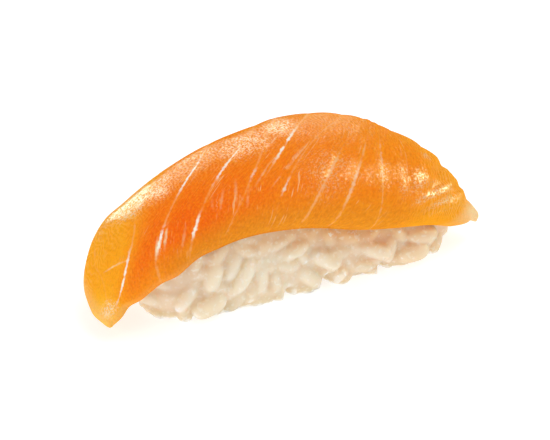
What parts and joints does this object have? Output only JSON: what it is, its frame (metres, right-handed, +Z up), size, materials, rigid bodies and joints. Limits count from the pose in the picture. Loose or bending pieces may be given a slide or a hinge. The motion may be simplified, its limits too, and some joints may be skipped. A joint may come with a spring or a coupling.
{
  "type": "salmon nigiri",
  "caption": "Slice of raw salmon draped lengthwise over a hand-pressed block of sushi rice, resting on its flat underside.",
  "frame": {"origin": "middle of the bounding box's base, on the surface that the rice stands on", "axes": "+X along the piece, from the end whose front corner hangs lowest to the blunter end; +Y to its far side; +Z up"},
  "size_m": [0.0856, 0.0316, 0.0311],
  "materials": {
    "salmon": "moist raw salmon: orange flesh, redder where it is thick and yellower at its thin edges, with fine lines of white fat and a wet gloss",
    "rice": "cooked short-grain rice: cream white, translucent and slightly sticky, with small glints"
  },
  "bodies": {
    "root": {"salmon_slice": "salmon", "rice": "rice"}
  },
  "joints": []
}
